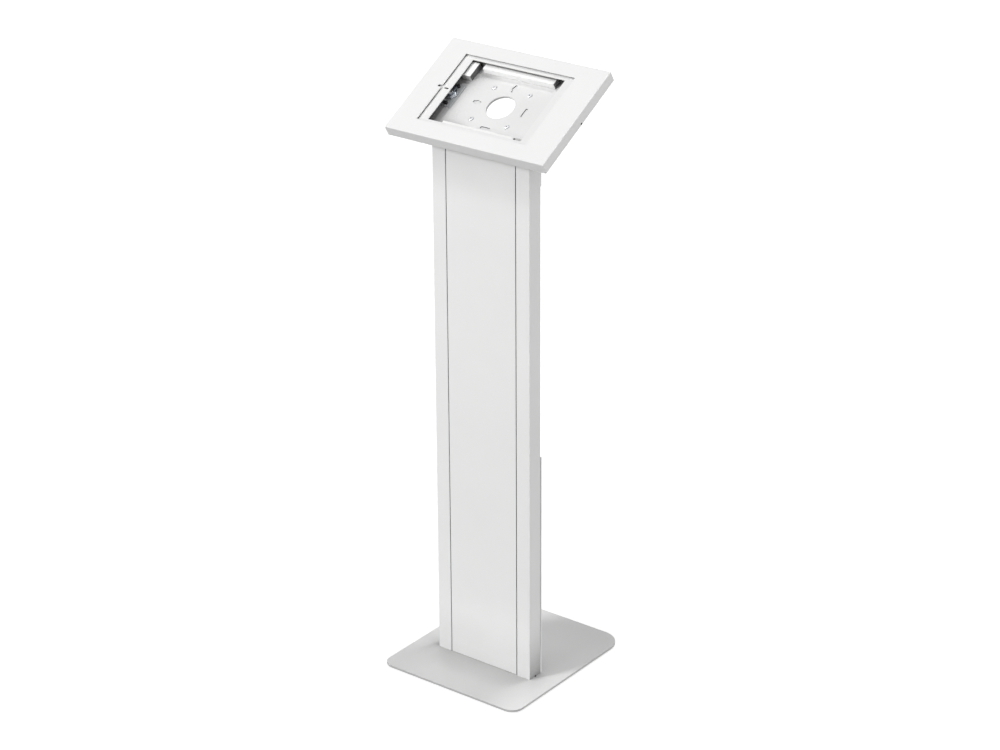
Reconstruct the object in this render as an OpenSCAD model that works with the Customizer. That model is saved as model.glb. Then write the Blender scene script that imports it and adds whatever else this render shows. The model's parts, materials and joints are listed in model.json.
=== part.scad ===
// Free-standing locked stand that holds a flat tablet at reading angle.
// Millimetres. The stand rests on z = 0, the front faces -Y, and the base plate is centred on the origin.
// The tilted head is drawn flat in its own frame: x to the right, y up the slope, z out of its face.

/* [Base] */
// Width of the base plate, left to right
base_w = 303.4; // [260:0.1:400]
// Depth of the base plate, front to back
base_d = 335.5; // [300:0.1:420]
// Thickness of the base plate
base_t = 4; // [4:0.5:10]
// Radius of the base plate's two front corners
base_front_r = 23; // [10:1:60]
// Radius of the base plate's two rear corners
base_rear_r = 42; // [10:1:60]
// Distance from the base's front edge to the column's front face
column_setback = 108.1; // [80:0.1:130]
// Diameter of the rubber foot pads
pad_d = 24; // [12:1:40]
// Thickness of the rubber foot pads
pad_t = 3; // [1:0.5:6]
// Distance of each pad's centre from the base's edges
pad_inset = 34; // [30:1:60]

/* [Column] */
// Width of the column
column_w = 207.9; // [180:0.1:240]
// Depth of the column, front face to back face
column_depth = 32; // [26:0.1:45]
// Width of each upright seen from the front
upright_w = 29; // [22:0.5:34]
// Wall of the uprights
upright_wall = 1.5; // [1.2:0.1:3]
// Open seam between an upright and the front panel
seam_gap = 1.2; // [0.6:0.1:3]
// Sheet thickness of the front and rear panels
panel_t = 1.5; // [1:0.1:2.5]
// How far the front panel lies behind the uprights' front faces
panel_recess = 0.5; // [0:0.1:2]
// Depth of the folded returns along the front panel's sides
panel_return = 12; // [6:1:16]
// Clearance below the panels and the rear cover
floor_gap = 0.5; // [0.2:0.1:2]
// Height of the rear access cover's top edge above the base
access_h = 430; // [360:1:440]
// How far the rear access cover stands behind the column
access_depth = 3.2; // [2.6:0.1:6]
// Gap between the rear access cover's rim and the column
access_seat = 0.2; // [0.1:0.1:0.5]
// Size of the small relief at the foot of each upright
relief_d = 5; // [3:0.5:8]
// Distance of that relief behind the column's front face
relief_y = 17; // [10:0.5:20]

/* [Cross members] */
// Height of the lowest cross member above the base
member_low = 110; // [90:1:200]
// Number of cross members above the rear access cover
upper_members = 3; // [2:1:4]
// Distance of the first of them above the rear access cover
member_rise = 32; // [20:1:60]
// Distance of the top one below the head's front edge
member_drop = 116.3; // [110:0.1:160]
// Height of a cross member's strap
member_h = 24; // [18:1:40]
// Sheet thickness of the cross members
member_t = 1.5; // [1:0.1:3]
// Width of the lips that carry the rear panel
member_lip = 18; // [14:1:24]
// Distance of the front panel's studs from the middle
stud_x = 50; // [30:1:55]
// Height of the foot bracket's ears
foot_ear_h = 60; // [40:1:80]
// Thickness of the foot bracket
foot_t = 4; // [3:0.5:6]
// Distance between the foot bracket and the column's faces
foot_margin = 4; // [4:0.5:6]

/* [Head] */
// Slope of the tablet face from horizontal
tilt = 30.34; // [20:0.1:40]
// How far the head's front edge stands in front of the column
head_overhang = 49; // [40:0.5:56]
// Height of the head's front edge above the base plate
head_height = 1006.3; // [985:0.1:1040]
// Width of the head
head_w = 335; // [325:0.5:360]
// Length of the head up its slope
head_l = 221.6; // [216:0.1:250]
// Depth of the front cover's folded sides
cover_h = 19.8; // [19.6:0.1:22]
// Sheet thickness of the front cover
cover_t = 1.5; // [1.2:0.1:2]
// Outside radius of the front cover's folded edges
fold_r = 1.3; // [1:0.1:4]
// Outside radius of the front cover's four corners
corner_r = 1.2; // [1:0.1:6]
// Width of the cut-out that frames the bezel plate
cutout_w = 231.3; // [220:0.1:240]
// Length of that cut-out up the slope
cutout_l = 160; // [154:0.5:164]
// Sideways place of the cut-out's middle
cutout_x = -3.6; // [-6:0.1:2]
// Place of the cut-out's middle up the slope
cutout_y = 112.4; // [108:0.1:114]

/* [Bezel plate] */
// Sheet thickness of the bezel plate
bezel_t = 1.5; // [1:0.1:2]
// Gap between the front cover's sheet and the bezel plate
bezel_gap = 2.2; // [0.5:0.1:2.5]
// How far the bezel plate reaches behind the cover all round
bezel_margin = 14; // [12:0.5:16]
// Width of the screen window
window_w = 195.9; // [180:0.1:206]
// Length of the screen window up the slope
window_l = 145.5; // [130:0.1:150]
// Sideways place of the window's middle
window_x = -3.5; // [-6:0.1:4]
// Place of the window's middle up the slope
window_y = 112.6; // [107:0.1:114]
// Length of the camera slot in the bezel plate
camera_slot_l = 10; // [5:0.5:10]
// Width of the camera slot in the bezel plate
camera_slot_w = 3; // [2:0.5:6]
// Reach of the camera notch in the front cover
notch_l = 8; // [4:0.5:10]
// Width of the camera notch in the front cover
notch_w = 5; // [3:0.5:8]
// Diameter of the studs that hold the bezel plate and the front panel
stud_d = 3; // [2.5:0.5:4]

/* [Back tray] */
// Depth of the tray's inner face below the head's outer face
tray_depth = 20.5; // [20:0.1:24]
// Sheet thickness of the tray
tray_t = 1.5; // [1.2:0.1:2]
// Distance from the head's side face to the tray's rim
tray_side_gap = 8; // [8:0.1:9]
// Distance from the head's front and rear faces to the tray's rim
tray_end_gap = 2.3; // [2.2:0.1:2.6]
// Height of the tray's rim, tray underside included
tray_rim_h = 12.5; // [12.3:0.1:13]
// Diameter of the cable hole
cable_hole_d = 52; // [40:1:56]
// Spacing of the four fixing screws, both ways
pattern = 75; // [70:1:80]
// Place of the fixing pattern's middle up the slope
pattern_y = 111.5; // [109:0.5:113]
// Diameter of the fixing holes in the tray
pattern_hole_d = 5; // [4.8:0.1:5.4]
// Distance of the slots and keyholes from the pattern's middle
keyhole_reach = 50; // [48:0.5:54]
// Width of the slots and keyholes
keyhole_w = 5; // [4:0.5:6]
// Length of the plain slots
slot_l = 20; // [14:1:24]
// Diameter of the keyholes' eyes
keyhole_eye_d = 9; // [8:0.5:11]

/* [Foam] */
// Length of the two foam bars
foam_l = 151; // [120:1:160]
// Sideways place of the foam bars' middle
foam_x = -1; // [-3:0.5:3]
// Width of the foam bars
foam_w = 21.7; // [15:0.1:23]
// Depth of the foam's face below the head's outer face
foam_depth = 9; // [8:0.1:12]
// Distance from the pattern's middle to each foam bar's inner face
foam_reach = 63; // [58:0.5:66]
// Width of the foam block
block_w = 21; // [14:0.5:22]
// Length of the foam block
block_l = 33; // [25:1:42]
// Sideways place of the foam block's middle
block_x = -98.5; // [-101:0.5:-97]
// Place of the foam block's middle up the slope
block_y = 169.2; // [164:0.1:175]

/* [Head bracket] */
// Thickness of the head bracket
bracket_t = 3; // [2.5:0.5:4]
// Width of the part of the bracket behind the tray
bracket_w = 122; // [118:1:130]
// Distance from the outer fixing screws to the bracket's end
bracket_end = 18; // [17:0.5:24]
// Height of the bracket's web behind the column
web_h = 92; // [80:1:110]
// Depth of the bracket's side gussets at the column
gusset_h = 38; // [20:1:50]
// Width of the cable opening in the web and the rear panel
cable_slot_w = 44; // [30:1:60]
// Height of the cable opening in the web and the rear panel
cable_slot_h = 30; // [20:1:34]

/* [Lock] */
// Distance of the lock from the head's left side
lock_inset = 62.5; // [61:0.5:66]
// Place of the lock up the slope
lock_y = 113; // [111:0.5:115]
// Diameter of the lock's barrel
barrel_d = 16; // [14:0.5:17]
// Diameter of the lock's face on the underside
lock_face_d = 21; // [18.5:0.5:24]
// Thickness of the lock's face
lock_face_t = 2; // [1.5:0.5:3]
// Diameter of the lock's turning core
core_d = 11; // [9:0.5:12]
// Clearance round the turning core
core_gap = 0.08; // [0.02:0.01:0.1]
// Width across the lock nut's flats
nut_af = 20; // [19:0.5:22]
// Thickness of the lock nut
nut_t = 2.5; // [2:0.5:3]
// Thickness of the plate under the lock nut
lock_plate_t = 1.5; // [1:0.1:1.5]
// Length of that plate up the slope
lock_plate_l = 54; // [52:1:60]
// Width of that plate
lock_plate_w = 28; // [26:1:30]
// Reach of the cam from the lock's axis
cam_reach = 16; // [15:0.5:16.5]
// Width of the cam
cam_w = 10; // [8:0.5:11]
// Thickness of the cam
cam_t = 2; // [1.5:0.5:2]
// Depth of the cam's underside below the head's outer face
cam_depth = 14; // [13.8:0.1:14.2]
// Side of the square that drives the cam
square_side = 6; // [5:0.5:6.5]
// Distance of the rubber buffers from the lock's axis
buffer_reach = 20; // [19.5:0.5:21]
// Length of a rubber buffer
buffer_l = 10; // [8:0.5:12]
// Width of a rubber buffer
buffer_w = 4.5; // [3:0.5:5]
// Height of a rubber buffer
buffer_h = 3; // [2:0.5:3.5]

/* [Keeper and hook] */
// Width of the keeper plate up the slope
keeper_l = 46; // [30:1:48]
// Thickness of the keeper plate
keeper_t = 1.5; // [1.2:0.1:1.5]
// Gap between the locked cam and the keeper plate
keeper_gap = 0.4; // [0.3:0.1:0.5]
// How far the keeper plate stops short of the lock's axis
keeper_stop = 10; // [9.5:0.5:11]
// Width of the hook plate up the slope
hook_l = 60; // [40:1:80]
// Thickness of the hook plate
hook_t = 1.2; // [1:0.1:1.5]
// Place of the hook plate's middle up the slope
hook_y = 114.7; // [105:0.1:120]
// Depth of the swing line below the head's outer face
hook_depth = 13.6; // [13.4:0.1:14]
// How far the hook's tongue reaches past the tray's rim
tongue_reach = 6; // [4:0.5:8]
// Half height of the slot that the tongue passes through
tongue_slot = 1.55; // [1.5:0.05:1.7]
// Diameter of the hook screw's head
hook_screw_head_d = 3.6; // [3:0.1:4]
// Depth of the hook screw below the head's outer face
hook_screw_depth = 17.6; // [17:0.1:17.7]

/* [Screws] */
// Shank diameter of the sheet metal screws
small_screw_d = 4; // [3:0.5:4]
// Shank diameter of the bracket and ear screws
large_screw_d = 5; // [4:0.5:6]
// Shank diameter of the base screws
base_screw_d = 6; // [5:0.5:6]
// Clearance round a shank in its hole
hole_gap = 0.25; // [0.1:0.05:0.4]
// Outer diameter of the cable grommet
grommet_d = 30; // [26:0.5:36]
// Bore of the cable grommet
grommet_bore = 16; // [10:0.5:20]
// Height of the cable grommet above the base
grommet_z = 45; // [35:1:60]

/* [Hidden] */
$fn = 64;
cut = 400;
eps = 0.01;

// Fine sizes of sheet corners, studs and small screws
sheet_r = 1.5;
inner_r = 0.3;
tray_corner_r = 2;
plate_corner_r = 3;
cut_corner_r = 1;
bracket_inset = 1;
bracket_heel = 1.2;
bracket_spare_h = 40;
foam_offset = 0.8;
collar_d = 6;
stud_rise = 3.3;
screw_seat = 0.3;
countersink_spare = 0.5;
panel_stud_l = 6.5;
screw_spare = 4;
web_screw_low = 14;
web_screw_high = 20;
access_screw_edge = 26;
foot_screw_drop = 16;
return_gap = 1;
grommet_lip = 1.4;
grommet_groove = 3;
key_slot_l = 8;
key_slot_w = 1.8;
key_slot_depth = 6;
cam_play = 0.1;
cam_boss = 3;
cam_screw_d = 2.5;
cam_screw_head = 9;
cam_screw_rise = 1.2;
cam_screw_l = 5;
cam_screw_slot = 0.7;
hook_screw_d = 2.5;
hook_screw_rise = 0.5;
hook_flange = 11.6;
hook_edge = 1.5;
keeper_hole = 6;
keeper_wall_drop = 4;
keyhole_shift = 5;
keyhole_trim = 3;

base_top = pad_t + base_t;
col_front = column_setback - base_d / 2;
col_back = col_front + column_depth;
upright_x = (column_w - upright_w) / 2;
bay_w = column_w - 2 * upright_w;
panel_w = bay_w - 2 * seam_gap;
panel_back = col_front + panel_recess + panel_t;
// Height of the column's pieces before their tops are mitred under the head
raw_h = head_height + head_overhang + column_depth;

head_y = col_front - head_overhang;
lock_x = lock_inset - head_w / 2;
head_z = base_top + head_height;
tray_under = tray_depth + tray_t;
bracket_under = tray_under + bracket_t;
bracket_mid = tray_under + bracket_t / 2;
bracket_far = pattern_y + pattern / 2 + bracket_end;

// Places on the plane that lies depth d below the head's outer face, at the row's y
function slope_at(y, d) = (y - head_y - d * sin(tilt)) / cos(tilt);
function height_at(y, d) = head_z + slope_at(y, d) * sin(tilt) - d * cos(tilt);
function y_of(slope, d) = head_y + slope * cos(tilt) + d * sin(tilt);

web_top = height_at(col_back, bracket_under);
web_bottom = web_top - web_h;
cable_slot_z = web_top - gusset_h - cable_slot_h / 2;
web_screw_z = [web_bottom + web_screw_low, web_top - web_screw_high];
access_screw_z = [base_top + access_screw_edge, base_top + access_h - access_screw_edge];
foot_screw_z = base_top + foot_ear_h - foot_screw_drop;
base_screw_x = [-bay_w / 3, 0, bay_w / 3];
foot_mid_y = col_front + column_depth / 2;
lip_screw_x = bay_w / 2 - member_lip / 2 - 2;

// Heights of the cross members above the base
upper_low = access_h + member_rise;
upper_step = (head_height - member_drop - upper_low) / (upper_members - 1);
member_z = concat([member_low], [for (i = [0 : upper_members - 1]) upper_low + i * upper_step]);

cutout_left = cutout_x - cutout_w / 2;
bezel_w = cutout_w + 2 * bezel_margin;
bezel_l = cutout_l + 2 * bezel_margin;
stud_off_x = (cutout_w + bezel_margin) / 2;
stud_off_y = (cutout_l + bezel_margin) / 2;
bezel_face = cover_t + bezel_gap;
bezel_back = bezel_face + bezel_t;
camera_slot_x = (cutout_left + window_x - window_w / 2) / 2;

tray_w = head_w - 2 * tray_side_gap;
tray_l = head_l - 2 * tray_end_gap;
rim_x = tray_w / 2 - tray_t / 2;
keeper_depth = cam_depth + keeper_gap;
keeper_right = lock_x - keeper_stop;
keeper_hole_x = (keeper_right + cover_t - head_w / 2) / 2;
plate_top = tray_depth - lock_plate_t;
nut_top = plate_top - nut_t;
barrel_top = cam_depth + 0.3;

pan_head = 2;
pan_rise = 0.6;
nut_ratio = 1.85;
nut_rise = 0.8;

// Flat forms

module round_rect(w, l, r) {
    square([w - 2 * r, l], center = true);
    square([w, l - 2 * r], center = true);
    for (sx = [-1, 1], sy = [-1, 1])
        translate([sx * (w / 2 - r), sy * (l / 2 - r)])
            circle(r = r);
}

// A band w wide that hangs h below y = 0, with its two top corners rounded
module fold_profile(w, h, r) {
    translate([-w / 2, -h])
        square([w, h - r]);
    translate([-w / 2 + r, -h])
        square([w - 2 * r, h]);
    for (s = [-1, 1])
        translate([s * (w / 2 - r), -r])
            circle(r = r);
}

// A slot with round ends, along y, centred
module slot_shape(l, w) {
    square([w, l - w], center = true);
    for (s = [-1, 1])
        translate([0, s * (l - w) / 2])
            circle(d = w);
}

// A keyhole: a slot along y with an eye at its middle
module keyhole_shape(l, w, eye) {
    slot_shape(l, w);
    circle(d = eye);
}

// Solid forms

module at_head() {
    translate([0, head_y, head_z])
        rotate([tilt, 0, 0])
            children();
}

// Everything that lies above the plane at depth d in the head
module above_plane(d) {
    at_head()
        translate([-cut, -cut, -d])
            cube([2 * cut, 2 * cut, cut]);
}

// A folded lid whose outer face lies on z = 0
module folded_lid(w, l, h, r, rc) {
    intersection() {
        translate([0, l / 2, 0])
            rotate([90, 0, 0])
                linear_extrude(l)
                    fold_profile(w, h, r);
        translate([-w / 2, 0, 0])
            rotate([90, 0, 90])
                linear_extrude(w)
                    fold_profile(l, h, r);
        translate([0, 0, -h])
            linear_extrude(h)
                round_rect(w, l, rc);
    }
}

// A pan head screw whose head sits on z = 0 and whose shank points down
module pan_screw(d, l) {
    difference() {
        union() {
            cylinder(d = pan_head * d, h = pan_rise * d * 0.6);
            translate([0, 0, pan_rise * d * 0.6 - eps])
                cylinder(d1 = pan_head * d, d2 = pan_head * d * 0.72, h = pan_rise * d * 0.4);
            translate([0, 0, -l])
                cylinder(d = d, h = l + eps);
        }
        translate([0, 0, pan_rise * d * 0.4])
            cylinder(d = d * 0.62, h = d, $fn = 6);
    }
}

module hex_nut(d, rise) {
    difference() {
        cylinder(d = d * nut_ratio / cos(30), h = rise, $fn = 6);
        translate([0, 0, -eps])
            cylinder(d = d + 0.1, h = rise + 2 * eps);
    }
}

module rear_screw(x, z, y, d, l) {
    translate([x, y, z])
        rotate([-90, 0, 0])
            pan_screw(d, l);
}

// Base

// The base plate's outline, its front half and its rear half with their own corners
module base_outline() {
    for (s = [-1, 1])
        intersection() {
            round_rect(base_w, base_d, s < 0 ? base_front_r : base_rear_r);
            translate([-base_w / 2, s < 0 ? -base_d / 2 : 0])
                square([base_w, base_d / 2]);
        }
}

module base_plate() {
    color("whitesmoke")
        difference() {
            translate([0, 0, pad_t])
                linear_extrude(base_t)
                    base_outline();
            for (x = base_screw_x)
                translate([x, foot_mid_y, pad_t - eps]) {
                    cylinder(d = base_screw_d + 2 * hole_gap, h = base_t + 1);
                    cylinder(
                        d1 = 2 * base_screw_d + 1, d2 = base_screw_d,
                        h = base_screw_d / 2 + countersink_spare
                    );
                }
        }
}

module foot_pads() {
    color("dimgray")
        for (sx = [-1, 1], sy = [-1, 1])
            translate([sx * (base_w / 2 - pad_inset), sy * (base_d / 2 - pad_inset), 0])
                cylinder(d = pad_d, h = pad_t);
}

module base_screws() {
    color("silver")
        for (x = base_screw_x)
            translate([x, foot_mid_y, pad_t + screw_seat])
                difference() {
                    union() {
                        cylinder(d1 = 2 * base_screw_d, d2 = base_screw_d, h = base_screw_d / 2);
                        cylinder(d = base_screw_d, h = base_t + foot_t + screw_spare);
                    }
                    translate([0, 0, -eps])
                        cylinder(d = base_screw_d * 0.66, h = base_screw_d * 0.4, $fn = 6);
                }
}

// Column

module foot_bracket() {
    ear_d = column_depth - 2 * foot_margin;
    color("gainsboro")
        difference() {
            translate([-bay_w / 2, col_front + foot_margin, base_top]) {
                cube([bay_w, ear_d, foot_t]);
                cube([foot_t, ear_d, foot_ear_h]);
                translate([bay_w - foot_t, 0, 0])
                    cube([foot_t, ear_d, foot_ear_h]);
            }
            for (x = base_screw_x)
                translate([x, foot_mid_y, base_top - 1])
                    cylinder(d = base_screw_d + 2 * hole_gap, h = foot_t + 2);
            translate([-cut, foot_mid_y, foot_screw_z])
                rotate([0, 90, 0])
                    cylinder(d = large_screw_d + 2 * hole_gap, h = 2 * cut);
        }
}

module foot_screws() {
    color("silver")
        for (s = [-1, 1])
            translate([s * (bay_w / 2 - foot_t), foot_mid_y, foot_screw_z])
                rotate([0, -s * 90, 0])
                    pan_screw(large_screw_d, foot_t + upright_wall + screw_spare);
}

// One upright, drawn for the side s = -1 left or 1 right
module upright(s) {
    color("whitesmoke")
        difference() {
            translate([s * upright_x, foot_mid_y, base_top])
                linear_extrude(raw_h)
                    difference() {
                        round_rect(upright_w, column_depth, sheet_r);
                        round_rect(
                            upright_w - 2 * upright_wall, column_depth - 2 * upright_wall,
                            sheet_r / 3
                        );
                    }
            above_plane(bracket_under);
            // Relief at the foot of the outer wall
            translate([s * (column_w / 2 + 1), col_front + relief_y, base_top])
                rotate([0, -s * 90, 0])
                    cylinder(d = relief_d, h = upright_wall + 2);
            for (z = web_screw_z)
                translate([s * upright_x, col_back + 1, z])
                    rotate([90, 0, 0])
                        cylinder(d = large_screw_d + 2 * hole_gap, h = upright_wall + 2);
            for (z = access_screw_z)
                translate([s * upright_x, col_back + 1, z])
                    rotate([90, 0, 0])
                        cylinder(d = small_screw_d + 4 * hole_gap, h = upright_wall + 2);
            for (z = member_z)
                translate([s * (bay_w / 2 - 1), foot_mid_y, base_top + z])
                    rotate([0, s * 90, 0])
                        cylinder(d = small_screw_d + 2 * hole_gap, h = upright_wall + 2);
            translate([s * (bay_w / 2 - 1), foot_mid_y, foot_screw_z])
                rotate([0, s * 90, 0])
                    cylinder(d = large_screw_d + 2 * hole_gap, h = upright_wall + 2);
        }
}

module upright_left() {
    upright(-1);
}

module upright_right() {
    upright(1);
}

// A strap behind the front panel with tabs on the uprights, and above the access cover also lips
module cross_member(z) {
    tab_d = col_back - panel_t - panel_back;
    translate([0, panel_back, base_top + z - member_h / 2])
        difference() {
            union() {
                translate([-bay_w / 2, 0, 0])
                    cube([bay_w, member_t, member_h]);
                for (s = [-1, 1])
                    translate([s * (bay_w - member_t) / 2 - member_t / 2, 0, 0])
                        cube([member_t, tab_d, member_h]);
                if (z - member_h / 2 > access_h)
                    for (s = [-1, 1])
                        translate([s * (bay_w - member_lip) / 2 - member_lip / 2, tab_d - member_t, 0])
                            cube([member_lip, member_t, member_h]);
            }
            for (s = [-1, 1]) {
                translate([s * stud_x, -1, member_h / 2])
                    rotate([-90, 0, 0])
                        cylinder(d = small_screw_d + 2 * hole_gap, h = member_t + 2);
                translate([s * lip_screw_x, tab_d - member_t - 1, member_h / 2])
                    rotate([-90, 0, 0])
                        cylinder(d = small_screw_d + 2 * hole_gap, h = member_t + 2);
                translate([s * (bay_w / 2 - member_t - 1), foot_mid_y - panel_back, member_h / 2])
                    rotate([0, s * 90, 0])
                        cylinder(d = small_screw_d + 2 * hole_gap, h = member_t + 2);
            }
        }
}

module cross_members() {
    color("gainsboro")
        for (z = member_z)
            cross_member(z);
}

module member_screws() {
    color("silver")
        for (z = member_z, s = [-1, 1])
            translate([s * (bay_w / 2 - member_t), foot_mid_y, base_top + z])
                rotate([0, -s * 90, 0])
                    pan_screw(small_screw_d, member_t + upright_wall + screw_spare);
}

// The heights between which the front panel's side returns run clear of what carries it
function return_starts() = concat(
    [foot_ear_h + return_gap],
    [for (z = member_z) z + member_h / 2 + return_gap]
);
function return_ends() = concat(
    [for (z = member_z) z - member_h / 2 - return_gap],
    [raw_h]
);

module front_panel() {
    starts = return_starts();
    ends = return_ends();
    color("white")
        difference() {
            translate([-panel_w / 2, col_front + panel_recess, base_top]) {
                translate([0, 0, floor_gap])
                    cube([panel_w, panel_t, raw_h]);
                for (i = [0 : len(starts) - 1], x = [0, panel_w - panel_t])
                    translate([x, 0, starts[i]])
                        cube([panel_t, panel_return, ends[i] - starts[i]]);
                for (z = member_z, s = [-1, 1])
                    translate([panel_w / 2 + s * stud_x, panel_t - eps, z])
                        rotate([-90, 0, 0])
                            cylinder(d = small_screw_d, h = panel_stud_l);
            }
            above_plane(bracket_under);
        }
}

module panel_nuts() {
    color("silver")
        for (z = member_z, s = [-1, 1])
            translate([s * stud_x, panel_back + member_t, base_top + z])
                rotate([-90, 0, 0])
                    hex_nut(small_screw_d, small_screw_d * nut_rise);
}

// The opening that lets the tablet's cable into the column
module cable_slot(y, depth) {
    translate([-cable_slot_w / 2, y - 1, cable_slot_z - cable_slot_h / 2])
        cube([cable_slot_w, depth + 2, cable_slot_h]);
}

module rear_panel() {
    color("whitesmoke")
        difference() {
            translate([-panel_w / 2, col_back - panel_t, base_top + access_h + floor_gap])
                cube([panel_w, panel_t, raw_h - access_h]);
            above_plane(bracket_under);
            cable_slot(col_back - panel_t, panel_t);
            for (z = member_z, s = [-1, 1])
                translate([s * lip_screw_x, col_back + 1, base_top + z])
                    rotate([90, 0, 0])
                        cylinder(d = small_screw_d + 2 * hole_gap, h = panel_t + 2);
        }
}

module rear_panel_screws() {
    color("silver")
        for (z = member_z, s = [-1, 1])
            if (z - member_h / 2 > access_h)
                rear_screw(
                    s * lip_screw_x, base_top + z, col_back,
                    small_screw_d, panel_t + member_t + screw_spare
                );
}

module rear_cover() {
    seat = col_back + access_seat;
    skin = col_back + access_depth - panel_t;
    color("whitesmoke")
        difference() {
            translate([-column_w / 2, seat, base_top + floor_gap])
                cube([column_w, access_depth - access_seat, access_h - floor_gap]);
            translate([-column_w / 2 + panel_t, seat - 1, base_top + floor_gap + panel_t])
                cube([column_w - 2 * panel_t, skin - seat + 1, access_h - floor_gap - 2 * panel_t]);
            for (z = access_screw_z, s = [-1, 1])
                translate([s * upright_x, skin - 1, z])
                    rotate([-90, 0, 0])
                        cylinder(d = small_screw_d + 2 * hole_gap, h = panel_t + 2);
            translate([0, skin - 1, base_top + grommet_z])
                rotate([-90, 0, 0])
                    cylinder(d = grommet_d - 2 * grommet_groove, h = panel_t + 2);
        }
}

module rear_cover_screws() {
    color("silver")
        for (z = access_screw_z, s = [-1, 1])
            rear_screw(
                s * upright_x, z, col_back + access_depth,
                small_screw_d, access_depth + upright_wall + screw_spare
            );
}

module cable_grommet() {
    wall = grommet_d / 2 - grommet_groove - grommet_bore / 2;
    lip = grommet_lip;
    color("dimgray")
        translate([0, col_back + access_depth - panel_t, base_top + grommet_z])
            rotate([-90, 0, 0])
                rotate_extrude()
                    translate([grommet_bore / 2, 0]) {
                        translate([0, -lip])
                            square([wall - hole_gap, panel_t + 2 * lip]);
                        translate([0, -lip])
                            square([grommet_d / 2 - grommet_bore / 2, lip]);
                        translate([0, panel_t])
                            square([grommet_d / 2 - grommet_bore / 2, lip]);
                    }
}

// Head bracket

module head_bracket() {
    front_slope = slope_at(col_front, tray_under);
    back_slope = slope_at(col_back + bracket_t, bracket_under) + bracket_heel;
    far_y = y_of(bracket_far, bracket_under) - bracket_t;
    color("gainsboro")
        difference() {
            union() {
                at_head()
                    translate([0, 0, -bracket_under])
                        linear_extrude(bracket_t) {
                            translate([-column_w / 2, front_slope])
                                square([column_w, back_slope - front_slope]);
                            translate([-bracket_w / 2, front_slope])
                                square([bracket_w, bracket_far - front_slope]);
                        }
                difference() {
                    translate([-column_w / 2 + bracket_inset, col_back, web_bottom])
                        cube([column_w - 2 * bracket_inset, bracket_t, web_h + bracket_spare_h]);
                    above_plane(bracket_mid);
                    cable_slot(col_back, bracket_t);
                }
                for (s = [-1, 1])
                    translate([s * (bracket_w - bracket_t) / 2 + bracket_t / 2, 0, 0])
                        rotate([90, 0, -90])
                            mirror([1, 0, 0])
                                linear_extrude(bracket_t)
                                    polygon([
                                        [col_back + eps, web_top - gusset_h],
                                        [col_back + eps, height_at(col_back, bracket_mid)],
                                        [far_y, height_at(far_y, bracket_mid)],
                                        [far_y, height_at(far_y, bracket_under) - bracket_t]
                                    ]);
            }
            at_head() {
                translate([0, pattern_y, -bracket_under - 1])
                    cylinder(d = cable_hole_d + 1, h = bracket_t + 2);
                for (sx = [-1, 1], sy = [-1, 1])
                    translate([sx * pattern / 2, pattern_y + sy * pattern / 2, -bracket_under - 1])
                        cylinder(d = small_screw_d + hole_gap, h = bracket_t + 2);
            }
            for (z = web_screw_z, s = [-1, 1])
                translate([s * upright_x, col_back - 1, z])
                    rotate([-90, 0, 0])
                        cylinder(d = large_screw_d + 2 * hole_gap, h = bracket_t + 2);
        }
}

module bracket_screws() {
    color("silver")
        for (z = web_screw_z, s = [-1, 1])
            rear_screw(
                s * upright_x, z, col_back + bracket_t,
                large_screw_d, bracket_t + upright_wall + screw_spare
            );
}

// Back tray

module back_tray() {
    color("whitesmoke")
        at_head()
            difference() {
                translate([0, head_l / 2, -tray_under])
                    linear_extrude(tray_rim_h)
                        round_rect(tray_w, tray_l, tray_corner_r);
                translate([0, head_l / 2, -tray_depth])
                    linear_extrude(tray_rim_h)
                        round_rect(tray_w - 2 * tray_t, tray_l - 2 * tray_t, tray_corner_r / 2);
                translate([0, pattern_y, -tray_under - 1])
                    linear_extrude(tray_t + 2) {
                        circle(d = cable_hole_d);
                        for (sx = [-1, 1], sy = [-1, 1])
                            translate([sx * pattern / 2, sy * pattern / 2])
                                circle(d = pattern_hole_d);
                        translate([keyhole_reach, 0])
                            slot_shape(slot_l, keyhole_w);
                        translate([0, -keyhole_reach])
                            rotate(90)
                                slot_shape(slot_l, keyhole_w);
                        translate([0, keyhole_reach - keyhole_shift])
                            keyhole_shape(slot_l - keyhole_trim, keyhole_w, keyhole_eye_d);
                        translate([-keyhole_reach, 0])
                            rotate(90)
                                keyhole_shape(slot_l - keyhole_trim, keyhole_w, keyhole_eye_d);
                    }
                translate([lock_x, lock_y, -tray_under - 1])
                    cylinder(d = barrel_d + 2 * hole_gap, h = tray_t + 2);
                // Notch for the keeper plate in the left rim, open at its top
                translate([-tray_w / 2 - 1, lock_y - keeper_l / 2 - 2, -keeper_depth - keeper_t - 1])
                    cube([tray_t + 2, keeper_l + 4, cut]);
                // Slot for the hook's tongue in the right rim
                translate([tray_w / 2 - tray_t - 1, hook_y - hook_l / 2 - 1, -hook_depth - tongue_slot])
                    cube([tray_t + 2, hook_l + 2, 2 * tongue_slot]);
            }
}

module tray_screws() {
    color("silver")
        at_head()
            for (sx = [-1, 1], sy = [-1, 1])
                translate([sx * pattern / 2, pattern_y + sy * pattern / 2, -tray_depth])
                    pan_screw(small_screw_d, tray_t + bracket_t - 0.1);
}

// Foam

module foam_bar(y) {
    color("snow")
        at_head()
            translate([foam_x, y, -tray_depth])
                linear_extrude(tray_depth - foam_depth)
                    round_rect(foam_l, foam_w, 1);
}

module foam_bar_top() {
    foam_bar(pattern_y + foam_offset + foam_reach + foam_w / 2);
}

module foam_bar_bottom() {
    foam_bar(pattern_y + foam_offset - foam_reach - foam_w / 2);
}

module foam_block() {
    color("snow")
        at_head()
            translate([block_x, block_y, -tray_depth])
                linear_extrude(tray_depth - foam_depth)
                    round_rect(block_w, block_l, 1);
}

// Lock

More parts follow.
